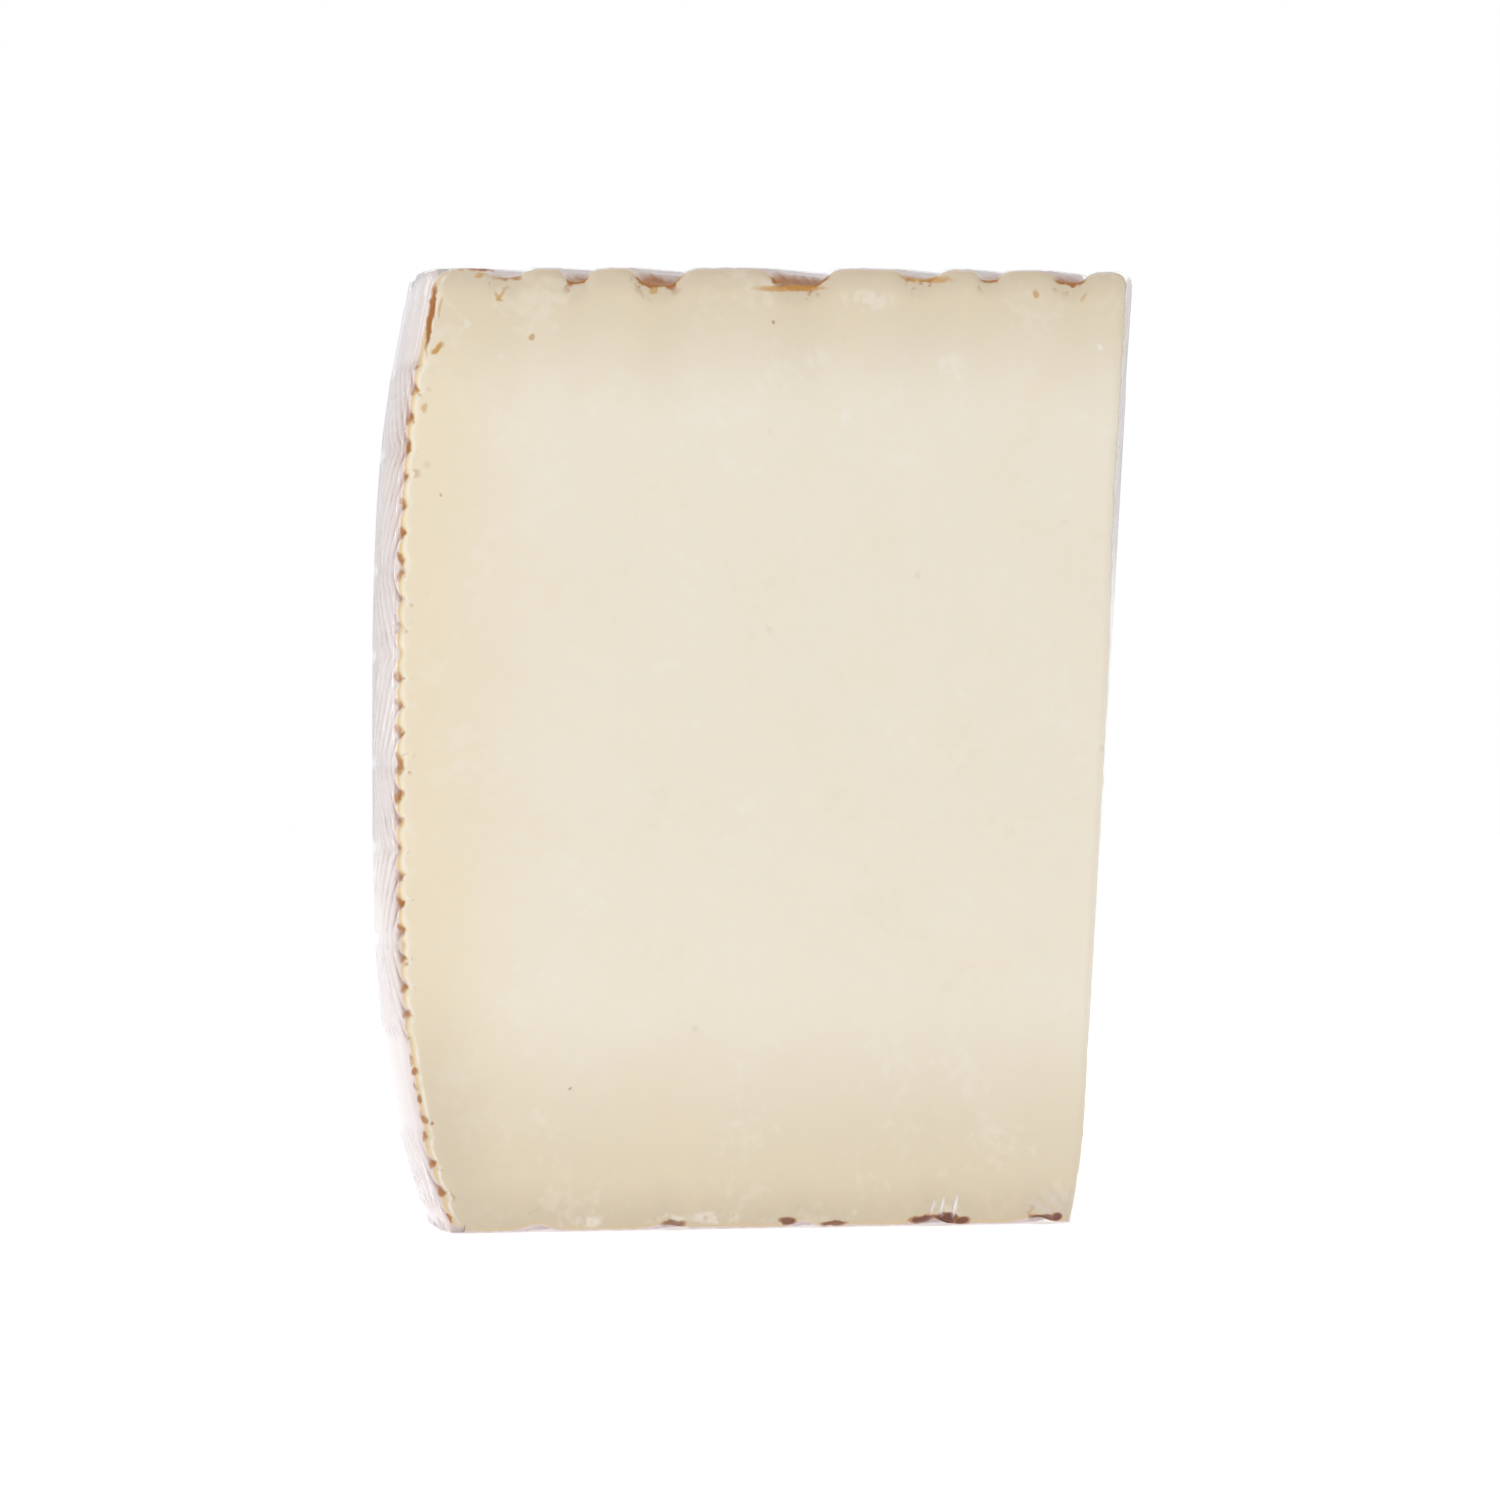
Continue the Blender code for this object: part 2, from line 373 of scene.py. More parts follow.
# Rounds the edge between two surfaces
def roundOff(co, shares, first, second, inset, radius):
    d = depths(co, shares)
    a = radius - (d[first] - inset)
    b = radius - (d[second] - inset)
    size = np.hypot(a, b)
    out = (a > 0) & (b > 0) & (size > radius)
    back = np.where(out, 1 - radius / np.maximum(size, 1e-9), 0)
    co += inward(first, co) * (a * back)[:, None]
    co += inward(second, co) * (b * back)[:, None]


# Brings every point onto the wedge's own surfaces, a little inside them, and rounds the edges
def settle(piece, inset, lowInset, rounding, shares):
    co, normals = meshPoints(piece)
    for name in surfaceFacing:
        d = depths(co, shares)[name]
        way = inward(name, co)
        onIt = (-(way * normals).sum(axis=1) > surfaceFacing[name]) & (np.abs(d) < reachOfSettle)
        gap = lowInset if name == "low" else inset
        target = np.where(onIt, gap, np.maximum(d, gap))
        co += way * (target - d)[:, None]
    for cutName in ("front", "back"):
        for rindName in ("wall", "top"):
            roundOff(co, shares, cutName, rindName, inset, rounding)
        roundOff(co, shares, cutName, "low", lowInset, rounding * footRounding)
    roundOff(co, shares, "tip", "top", inset, tipCorner)
    return co, normals


def storeValues(piece, name, values):
    kind = "FLOAT" if values.ndim == 1 else "FLOAT_VECTOR"
    layer = piece.data.attributes.new(name, kind, "POINT")
    layer.data.foreach_set("value" if kind == "FLOAT" else "vector", values.astype(np.float32).ravel())


# The cheese itself

cheese = {
    "voxel": 0.00053,
    "inset": 0.00022,  # room for the film
    "lowInset": 0.00014,
    "rounding": 0.0009,
    "shares": (0.6, 0.35, 0.6, 1.0),
    "flatMargin": 0.0024,
    "flatKeep": 0.06,
    "swell": 0.00007,  # unevenness of the cuts
    "tipRecess": 0.00055,  # how far the film stands off the upper tip
    "recessFrom": 0.066,
    "recessTo": 0.090,
    "recessWidth": 0.009,
    "rindBlend": 0.0004,  # width over which rind turns into paste
    "spotTop": 0.107,  # no spots in the wall's grooves above this
    "topBrown": 0.0013,  # how deep a leaf's groove is where it is brownest
    "lowBrown": 0.0020,
    "grainSize": 0.0016,
    "grainHeight": 0.00004,
}


def recess(z):
    return cheese["tipRecess"] * smooth(cheese["recessFrom"], cheese["recessTo"], z)


def makeCheese():
    print("making the cheese")
    piece = copyOfSolid("cheeseBody", cheese["voxel"])
    thinOutFlats(piece, cheese["flatMargin"], cheese["flatKeep"])
    co, normals = settle(piece, cheese["inset"], cheese["lowInset"], cheese["rounding"], cheese["shares"])
    x, y, z = co[:, 0].copy(), co[:, 1].copy(), co[:, 2].copy()
    onFront = -normals[:, 1] > flatFacing
    onBack = normals[:, 0] * backNormal[0] + normals[:, 1] * backNormal[1] > flatFacing
    swell = cheese["swell"] * np.maximum(waves(3, 9, 0.022, x, y, z), 0)
    co += inward("front", co) * (swell * onFront)[:, None]
    co += inward("back", co) * (swell * onBack)[:, None]
    grain = cheese["grainHeight"] * waves(8, 14, cheese["grainSize"], x, y, z)
    co += normals * (grain * ~(onFront | onBack))[:, None]
    co[:, 0] -= smooth(cheese["recessWidth"], 0.0, tipPlace(z) - x) * recess(z)
    setPoints(piece, co)
    d = depths(co, cheese["shares"])
    rind = np.stack([d["wall"], d["top"], d["low"]])
    nearest = rind.argmin(axis=0)
    fromRind = np.clip(rind.min(axis=0) - cheese["inset"], 0, 0.05)
    cutDepth = np.minimum(d["front"], d["back"]) - cheese["inset"]
    # what the material needs to know at each point, lengths in mm
    storeValues(piece, "fromRind", fromRind / mm)
    storeValues(piece, "fromWall", np.clip(d["wall"], 0, 0.05) / mm)
    # the underside counts as nearer, so the darkening towards it, partly painted shade, reaches higher
    storeValues(piece, "fromEnds", np.clip(np.minimum(d["top"], 0.6 * d["low"]), 0, 0.06) / mm)
    storeValues(piece, "onRind", np.clip(0.5 + (cutDepth - fromRind) / cheese["rindBlend"], 0, 1))
    storeValues(piece, "cutDepth", np.clip(cutDepth, 0, 0.05) / mm)
    turns = np.where(d["front"] < d["back"], d["atEdge"], d["phase"])
    spotAway = np.abs(turns - np.round(turns)) * plait["pitch"]
    spotAway = np.where((nearest == 0) & (z < cheese["spotTop"]), spotAway, 0.01)
    storeValues(piece, "spotAway", spotAway / mm)
    storeValues(piece, "onLeaf", (nearest > 0).astype(float))
    # a different shade for each strand and leaf
    strand = np.floor(d["phase"]) * 7.13 + np.floor(d["atEdge"] * 0.05 + z / 0.012) * 3.77
    leaf = np.floor(d["placeTop"] / topLeaves["pitch"]) * 5.71
    tone = np.choose(nearest, [strand, leaf, leaf])
    storeValues(piece, "tone", np.mod(np.sin(tone * 12.9898) * 43758.5453, 1.0))
    wallGroove = np.clip(d["strand"] / plait["depth"] + 0.35 * d["line"] / plait["bandGroove"], 0, 1)
    topGroove = np.clip(d["deepTop"] / cheese["topBrown"], 0, 1)
    lowGroove = np.clip(d["deepLow"] / cheese["lowBrown"], 0, 1)
    storeValues(piece, "groove", np.choose(nearest, [wallGroove, topGroove, lowGroove]))
    along = np.choose(nearest, [z, np.abs(d["awayTop"]), np.abs(d["awayLow"])])
    across = np.choose(nearest, [d["phase"] * plait["pitch"], d["placeTop"], d["placeLow"]])
    storeValues(piece, "weave", np.stack([across, along, nearest * 0.1], axis=1) / mm)
    workOn(piece)
    bpy.ops.object.shade_smooth()
    print("cheese triangles", sum(len(p.vertices) - 2 for p in piece.data.polygons))
    return piece


# The film

film = {
    "voxel": 0.0007,
    "inset": 0.00008,
    "lowInset": 0.00003,
    "rounding": 0.0011,
    "shares": (0.15, 0.05, 0.2, 0.4),  # how much of strand, band line and leaf relief it follows
    "flatKeep": 0.45,
    "flatMargin": 0.0040,
    "swell": 0.00004,
}
folds = {
    "seed": 17,
    "corner": 3,  # at each corner of the wedge
    "rim": 30,  # along each rim of the wall
    "height": 0.00022,
    "width": 0.00045,
    "streaks": (  # short upright folds low on the front cut: foot and head, and height
        ((0.0208, 0.0014), (0.0214, 0.0034), 0.8),
        ((0.0220, 0.0015), (0.0226, 0.0038), 1.0),
        ((0.0237, 0.0011), (0.0243, 0.0040), 1.2),
    ),
    "streakWidth": 0.00020,
    "streakMiddle": 0.0226,  # the part of the film that is fine enough for them
    "streakReach": 0.0032,
    "streakHeights": (0.0006, 0.0062),
    "backEdge": -0.0704,  # the back cut's upright edge, from the wheel's axis
}


def makeFilm():
    print("making the film")
    piece = copyOfSolid("clearFilm", film["voxel"])
    thinOutFlats(piece, film["flatMargin"], film["flatKeep"])
    co, normals = meshPoints(piece)
    low, high = folds["streakHeights"]
    nearStreaks = np.abs(co[:, 0] - folds["streakMiddle"]) < folds["streakReach"]
    nearStreaks &= (co[:, 2] < high) & (co[:, 2] > low)
    facesOf(piece, nearStreaks & (-normals[:, 1] > flatFacing))
    bpy.ops.mesh.subdivide(number_cuts=4)
    bpy.ops.object.mode_set(mode="OBJECT")
    co, normals = settle(piece, film["inset"], film["lowInset"], film["rounding"], film["shares"])
    ridge = np.zeros(len(co))
    for start, end, width, height in foldLines():
        a, b = np.array(start), np.array(end)
        along = b - a
        t = np.clip(((co - a) @ along) / (along @ along), 0, 1)
        away = np.linalg.norm(co - a - t[:, None] * along, axis=1)
        taper = np.sin(math.pi * np.clip(t, 0.02, 0.98)) ** 0.6
        ridge = np.maximum(ridge, height * taper * np.exp(-(away / width) ** 2))
    x, y, z = co[:, 0], co[:, 1], co[:, 2]
    swell = film["swell"] * np.minimum(waves(21, 10, 0.012, x, y, z), 0)
    d = depths(co, film["shares"])
    atTip = smooth(-0.0001, 0.0002, recess(z) + film["inset"] - d["tip"])
    atTip = atTip * smooth(cheese["recessFrom"], cheese["recessTo"], z)
    co += normals * (ridge * 0.6 + swell)[:, None]
    co = np.clip(co, np.array(cadBox[0]), np.array(cadBox[1]))
    setPoints(piece, co)
    storeValues(piece, "ridge", np.clip(ridge / folds["height"], 0, 1.2))
    storeValues(piece, "atTip", atTip)
    workOn(piece)
    bpy.ops.object.shade_smooth()
    print("film triangles", sum(len(p.vertices) - 2 for p in piece.data.polygons))
    return piece


def wallPoint(angle, z):
    r = float(barrelRadius(np.array([z]))[0])
    return (axisX + r * math.cos(angle), axisY + r * math.sin(angle), z)


# Small folds in the film: low on the front cut, at the corners and along the rims
def foldLines():
    rng = random.Random(folds["seed"])
    size = folds["height"]
    y = frontY + film["inset"]
    lines = [((x0, y, z0), (x1, y, z1), folds["streakWidth"], size * height)
             for (x0, z0), (x1, z1), height in folds["streaks"]]
    top = wheel["height"]
    backWay = (-math.cos(cut["angle"]), math.sin(cut["angle"]), 0)
    frontWay = (-1, 0, 0)
    backAngle = math.atan2(cadBox[1].y - axisY, folds["backEdge"])
    corners = []
    for z, up in ((top, (0, 0, -1)), (0.0, (0, 0, 1))):
        tip = (float(tipPlace(np.array([z]))[0]), frontY, z)
        corners += [(tip, frontWay, up), (tip, backWay, up)]
        for angle, way in ((edgeAngle, frontWay), (backAngle, backWay)):
            corners.append((wallPoint(angle, z), [-w for w in way], up))
    for corner, u, v in corners:
        for _ in range(folds["corner"]):
            turn = rng.uniform(0.1, 1.45)
            start, length = rng.uniform(0.0010, 0.0030), rng.uniform(0.003, 0.008)
            way = [a * math.cos(turn) + b * math.sin(turn) for a, b in zip(u, v)]
            lines.append((
                [c + start * w for c, w in zip(corner, way)],
                [c + (start + length) * w for c, w in zip(corner, way)],
                folds["width"], rng.uniform(0.15, 0.5) * size,
            ))
    for z, up in ((top - 0.0022, -1), (0.0022, 1)):
        for number in range(folds["rim"]):
            angle = edgeAngle + (backAngle - edgeAngle) * (number + rng.uniform(0.1, 0.9)) / folds["rim"]
            length, lean = rng.uniform(0.002, 0.008), rng.uniform(-0.02, 0.02)
            lines.append((
                wallPoint(angle, z), wallPoint(angle + lean, z + up * length),
                folds["width"], rng.uniform(0.3, 1.0) * size,
            ))
    return lines


# Materials

def nodeTree(material):
    material.use_nodes = True
    tree = material.node_tree
    tree.nodes.clear()
    return tree


def put(node, name, value):
    node.inputs[name].default_value = value


def link(tree, source, target):
    tree.links.new(source, target)


def maths(tree, operation, a, b=None, clamp=False):
    node = tree.nodes.new("ShaderNodeMath")
    node.operation = operation
    node.use_clamp = clamp
    for socket, value in zip(node.inputs, (a, b)):
        if value is None:
            continue
        if isinstance(value, (int, float)):
            socket.default_value = value
        else:
            tree.links.new(value, socket)
    return node.outputs[0]


def times(tree, a, b):
    return maths(tree, "MULTIPLY", a, b)


def plus(tree, a, b, clamp=False):
    return maths(tree, "ADD", a, b, clamp)


# A noise as a number about 0, so much either way
def about(tree, value, amount):
    return times(tree, maths(tree, "SUBTRACT", value, 0.5), amount)


def rangeOf(tree, value, low, high, toLow=0.0, toHigh=1.0, kind="SMOOTHSTEP"):
    node = tree.nodes.new("ShaderNodeMapRange")
    node.interpolation_type = kind
    tree.links.new(value, node.inputs["Value"])
    for name, number in (("From Min", low), ("From Max", high), ("To Min", toLow), ("To Max", toHigh)):
        node.inputs[name].default_value = number
    return node.outputs["Result"]


def mixColour(tree, factor, first, second, blend="MIX"):
    node = tree.nodes.new("ShaderNodeMix")
    node.data_type = "RGBA"
    node.blend_type = blend
    node.clamp_factor = True
    for index, value in ((0, factor), (6, first), (7, second)):
        if isinstance(value, (int, float)):
            node.inputs[index].default_value = value
        elif isinstance(value, tuple):
            node.inputs[index].default_value = (*value, 1)
        else:
            tree.links.new(value, node.inputs[index])
    return node.outputs[2]


# A colour given as the eye's 0 to 255, as light
def srgb(r, g, b):
    return tuple(((c / 255 + 0.055) / 1.055) ** 2.4 if c > 10 else c / 3294.6 for c in (r, g, b))


def groupOf(name, inputs, outputs):
    group = bpy.data.node_groups.new(name, "ShaderNodeTree")
    for label, kind, default in inputs:
        socket = group.interface.new_socket(label, in_out="INPUT", socket_type=kind)
        if default is not None:
            socket.default_value = default
    for label, kind in outputs:
        group.interface.new_socket(label, in_out="OUTPUT", socket_type=kind)
    start = group.nodes.new("NodeGroupInput")
    end = group.nodes.new("NodeGroupOutput")
    return group, start, end


# Soft cloudy patches over finer ones, between 0 and 1
def makeMottleGroup():
    group, start, end = groupOf(
        "mottle",
        [("Vector", "NodeSocketVector", None), ("Patch Scale", "NodeSocketFloat", 60.0),
         ("Fine Scale", "NodeSocketFloat", 400.0), ("Fine Share", "NodeSocketFloat", 0.35)],
        [("Value", "NodeSocketFloat")],
    )
    patch = group.nodes.new("ShaderNodeTexNoise")
    patch.inputs["Detail"].default_value = 2
    fine = group.nodes.new("ShaderNodeTexNoise")
    fine.inputs["Detail"].default_value = 3
    mix = group.nodes.new("ShaderNodeMix")
    turned = group.nodes.new("ShaderNodeMapping")  # so that a flat cut doesn't lie along the noise's grid
    turned.inputs["Rotation"].default_value = (0.5, 0.9, 0.4)
    group.links.new(start.outputs["Vector"], turned.inputs["Vector"])
    group.links.new(turned.outputs["Vector"], patch.inputs["Vector"])
    group.links.new(turned.outputs["Vector"], fine.inputs["Vector"])
    group.links.new(start.outputs["Patch Scale"], patch.inputs["Scale"])
    group.links.new(start.outputs["Fine Scale"], fine.inputs["Scale"])
    group.links.new(start.outputs["Fine Share"], mix.inputs[0])
    group.links.new(patch.outputs["Fac"], mix.inputs[2])
    group.links.new(fine.outputs["Fac"], mix.inputs[3])
    group.links.new(mix.outputs[0], end.inputs["Value"])
    return group


# Sparse small dots, 1 in a dot and 0 elsewhere
def makeSpeckGroup():
    group, start, end = groupOf(
        "specks",
        [("Vector", "NodeSocketVector", None), ("Scale", "NodeSocketFloat", 90.0),
         ("Size", "NodeSocketFloat", 0.06), ("Share", "NodeSocketFloat", 0.2)],
        [("Value", "NodeSocketFloat")],
    )
    cells = group.nodes.new("ShaderNodeTexVoronoi")
    cells.feature = "F1"
    group.links.new(start.outputs["Vector"], cells.inputs["Vector"])
    group.links.new(start.outputs["Scale"], cells.inputs["Scale"])
    dot = group.nodes.new("ShaderNodeMapRange")
    dot.interpolation_type = "SMOOTHSTEP"
    group.links.new(cells.outputs["Distance"], dot.inputs["Value"])
    group.links.new(start.outputs["Size"], dot.inputs["From Min"])
    dot.inputs["From Max"].default_value = 0
    split = group.nodes.new("ShaderNodeSeparateColor")
    group.links.new(cells.outputs["Color"], split.inputs["Color"])
    chosen = group.nodes.new("ShaderNodeMath")
    chosen.operation = "LESS_THAN"
    group.links.new(split.outputs[0], chosen.inputs[0])
    group.links.new(start.outputs["Share"], chosen.inputs[1])
    both = group.nodes.new("ShaderNodeMath")
    both.operation = "MULTIPLY"
    group.links.new(dot.outputs["Result"], both.inputs[0])
    group.links.new(chosen.outputs[0], both.inputs[1])
    group.links.new(both.outputs[0], end.inputs["Value"])
    return group


# One small stain or fleck on a cut, 1 in its middle
def makeMarkGroup():
    group, start, end = groupOf(
        "mark",
        [("Vector", "NodeSocketVector", None), ("Middle", "NodeSocketVector", None),
         ("Turn", "NodeSocketFloat", 0.0), ("Size", "NodeSocketVector", None)],
        [("Value", "NodeSocketFloat")],
    )
    turn = group.nodes.new("ShaderNodeVectorRotate")
    turn.rotation_type = "Y_AXIS"
    for source, target in (("Vector", "Vector"), ("Middle", "Center"), ("Turn", "Angle")):
        group.links.new(start.outputs[source], turn.inputs[target])
    aside = group.nodes.new("ShaderNodeVectorMath")
    aside.operation = "SUBTRACT"
    group.links.new(turn.outputs[0], aside.inputs[0])
    group.links.new(start.outputs["Middle"], aside.inputs[1])
    scaled = group.nodes.new("ShaderNodeVectorMath")
    scaled.operation = "DIVIDE"
    group.links.new(aside.outputs[0], scaled.inputs[0])
    group.links.new(start.outputs["Size"], scaled.inputs[1])
    length = group.nodes.new("ShaderNodeVectorMath")
    length.operation = "LENGTH"
    group.links.new(scaled.outputs[0], length.inputs[0])
    fade = group.nodes.new("ShaderNodeMapRange")
    fade.interpolation_type = "SMOOTHSTEP"
    fade.inputs["From Min"].default_value = 1.15
    fade.inputs["From Max"].default_value = 0.55
    group.links.new(length.outputs["Value"], fade.inputs["Value"])
    group.links.new(fade.outputs["Result"], end.inputs["Value"])
    return group


def placeGroup(tree, group, vector, **values):
    node = tree.nodes.new("ShaderNodeGroup")
    node.node_tree = group
    tree.links.new(vector, node.inputs["Vector"])
    for name, value in values.items():
        node.inputs[name.replace("_", " ")].default_value = value
    return node.outputs["Value"]


def attribute(tree, name, output="Fac"):
    node = tree.nodes.new("ShaderNodeAttribute")
    node.attribute_name = name
    return node.outputs[output]


# Paste: palest at the heart, darker and yellower towards the rind; towards the upper and lower faces the
# darkening is partly painted shade, strongest at the foot; lengths in mm
paste = {
    "core": srgb(236, 227, 209),
    "nearWall": srgb(235, 222, 195),
    # the paste's own tone near the upper and lower faces, with painted shade along those edges
    "nearEndsAndShade": srgb(221, 207, 180),
    "atEndsAndShade": srgb(206, 191, 166),
    "patch": srgb(232, 216, 180),
    # paler places in the paste; also the colour of the painted glint and of the film's painted sheen
    "pale": srgb(242, 236, 226),
    "rindLine": srgb(218, 186, 122),
    "stain": srgb(162, 100, 22),
    "deepStain": srgb(104, 44, 8),
    "fleck": srgb(196, 142, 52),
    "speck": srgb(190, 158, 110),
    "wallFade": (1.0, 22.0),  # distances from the wall over which it grows pale
    "endsFade": (1.0, 19.0),  # and from the upper and lower faces
    # painted shade right along the upper and lower faces
    "edgeFade": (0.0, 4.0),
    "fadeWander": 7.0,
    # painted shade low in the corner where the wall meets the underside, by the floor
    "cornerShadeReach": 13.0,  # darker where the wall comes down to the underside
    "cornerShadeHeight": 0.045,
    "cornerShadeShare": 0.75,
    "patchShare": 0.25,
    "paleShare": 0.22,
    "speckShare": 0.25,
    "lineWidth": (0.75, 0.30),  # the golden line under the rind
    "roughness": 0.40,
    "scatter": 0.0015,
    "wander": 0.0009,  # how far the outlines of the marks stray
}
rindLook = {
    # the rind's pale tone with the film's lavender-white sheen painted into it
    "crest": srgb(227, 219, 215),
    "shade": srgb(212, 196, 186),
    "strand": srgb(206, 190, 189),
    "groove": srgb(166, 134, 120),
    "leafGroove": srgb(172, 112, 50),
    "fibre": (2.4, 0.22, 1.0),  # how close the fibres lie across and along a strand, per mm
    "fibreShare": 0.6,
    "toneShare": 0.55,  # how much the strands differ
    # painted shade: the rind greyer low down, where it nears the floor
    "lowShadeShare": 0.6,  # greyer low down
    "lowShadeHeights": (0.040, 0.004),
    "brownUneven": 1.3,
    "leafUneven": 1.6,
    "wallBrown": 0.2,
    "brownRange": (0.30, 1.15),
}
# Brown spots where the grooves between strands meet the cuts
spots = {
    "size": (1.0, 0.56, 0.8),  # mm along the edge, into the cut and along the rind
    "fray": 1.3,
    "differ": 0.45,
    "edge": (1.35, 0.75),
    "heart": (0.75, 0.35),
}
# Places on the front cut, in mm: x, z, half length, half height, turn in degrees, strength
places = {
    "flecks": (  # golden
        (-41.4, 108.8, 1.10, 0.42, 38, 0.9), (-33.4, 115.6, 0.95, 0.26, 50, 0.6),
        (-33.8, 115.3, 0.95, 0.26, -45, 0.6), (-36.2, 117.8, 0.60, 0.34, 10, 0.7),
        (-29.7, 110.4, 0.50, 0.36, 30, 0.7), (-14.4, 116.3, 0.60, 0.50, 0, 0.7),
        (3.0, 116.9, 5.10, 0.46, 1, 0.8), (20.6, 118.4, 3.60, 0.50, -2, 0.7),
        (34.5, 116.7, 0.36, 0.50, 20, 0.7), (40.6, 116.4, 0.30, 0.80, -20, 0.4),
        (-40.9, 90.9, 0.26, 0.30, 0, 0.6), (-43.0, 101.5, 0.40, 0.70, 0, 0.5),
        (-41.0, 113.9, 1.60, 0.22, 78, 0.5),
    ),
    "marks": (  # browner ones
        (-42.2, 112.8, 5.00, 0.40, 82, 1.0), (-35.2, 118.9, 4.60, 0.55, 0, 1.0),
        (0.8, 112.7, 0.20, 0.20, 0, 0.6), (-42.1, 13.6, 0.30, 0.26, 0, 0.8),
        (-24.8, 17.7, 0.24, 0.20, 0, 0.6),
        (-44.2, 20.0, 0.40, 0.65, 10, 0.9), (-43.5, 16.6, 0.40, 0.65, 10, 0.9),
        (-42.9, 14.2, 0.40, 0.60, 10, 0.8),
    ),
    # the film's sheen painted on the paste as soft whitish places
    "paintedSheenMarks": (  # soft whitish places on it
        (23.6, 107.4, 2.4, 1.8, 0, 0.35), (42.6, 110.2, 0.9, 0.4, -35, 0.8),
        (6.2, 108.5, 2.0, 1.6, 0, 0.25), (13.0, 115.6, 4.0, 1.4, 0, 0.35),
        (10.0, 101.0, 0.7, 1.3, -20, 0.5), (-38.0, 111.8, 1.0, 0.8, 0, 0.4),
        (-22.6, 1.3, 2.4, 0.8, 0, 0.5), (-12.0, 1.4, 2.0, 0.7, 0, 0.5),
        (-6.5, 1.5, 3.6, 0.9, 0, 0.5), (22.8, 2.0, 2.2, 1.4, 0, 0.35),
    ),
    "blobs": (  # dark places along the lower edge of the front cut
        (20.4, 0.80, 2.6, 0.62, 0, 0.9), (22.9, 0.95, 1.9, 0.80, 0, 1.0), (24.9, 0.70, 1.1, 0.60, 0, 0.9),
        (35.6, 0.80, 2.1, 0.44, 0, 0.9), (37.1, 0.95, 0.8, 0.60, 0, 0.95), (8.4, 0.55, 1.9, 0.36, 0, 0.7),
        (2.6, 0.95, 1.2, 0.58, 0, 0.8), (-11.8, 0.80, 1.7, 0.54, 0, 0.65),
    ),
}


# Puts marks on the front cut, each strayed in outline, and broken up or fringed if wanted
def addMarks(tree, mark, place, marks, body, colour, broken=None, fringe=None):
    for x, z, length, height, turn, strength in marks:
        node = tree.nodes.new("ShaderNodeGroup")
        node.node_tree = mark
        link(tree, place, node.inputs["Vector"])
        put(node, "Middle", (x * mm, frontY, z * mm))
        put(node, "Turn", math.radians(turn))
        put(node, "Size", (length * mm, 2 * mm, height * mm))
        value = node.outputs["Value"]
        if fringe:
            body = mixColour(tree, rangeOf(tree, value, 0.0, 0.3, 0.0, 0.8 * strength), body, fringe)
            amount = rangeOf(tree, value, 0.4, 0.9, 0.0, strength)
        else:
            amount = times(tree, value, strength)
        if broken:
            amount = times(tree, amount, broken)
        body = mixColour(tree, amount, body, colour)
    return body


# What the colours of the cheese are made from
def cheeseValues(tree, mottle):
    names = ("fromRind", "fromWall", "fromEnds", "onRind", "onLeaf", "groove", "cutDepth", "spotAway", "tone")
    v = {name: attribute(tree, name) for name in names}
    v["weave"] = attribute(tree, "weave", "Vector")
    v["byWall"] = maths(tree, "SUBTRACT", 1.0, v["onLeaf"])
    v["place"] = tree.nodes.new("ShaderNodeTexCoord").outputs["Object"]
    split = tree.nodes.new("ShaderNodeSeparateXYZ")
    link(tree, v["place"], split.inputs[0])
    v["height"] = split.outputs["Z"]
    v["patches"] = placeGroup(tree, mottle, v["place"], Patch_Scale=90.0, Fine_Scale=700.0, Fine_Share=0.45)
    v["cloud"] = placeGroup(tree, mottle, v["place"], Patch_Scale=28.0, Fine_Scale=160.0, Fine_Share=0.4)
    stray = tree.nodes.new("ShaderNodeTexNoise")
    put(stray, "Scale", 900.0)
    put(stray, "Detail", 3.0)
    link(tree, v["place"], stray.inputs["Vector"])
    v["stray"] = stray.outputs["Fac"]
    centred = tree.nodes.new("ShaderNodeVectorMath")
    centred.operation = "SUBTRACT"
    centred.inputs[1].default_value = (0.5, 0.5, 0.5)
    link(tree, stray.outputs["Color"], centred.inputs[0])
    moved = tree.nodes.new("ShaderNodeVectorMath")
    moved.operation = "MULTIPLY_ADD"
    moved.inputs[1].default_value = (paste["wander"],) * 3
    link(tree, centred.outputs[0], moved.inputs[0])
    link(tree, v["place"], moved.inputs[2])
    v["strayed"] = moved.outputs[0]
    return v


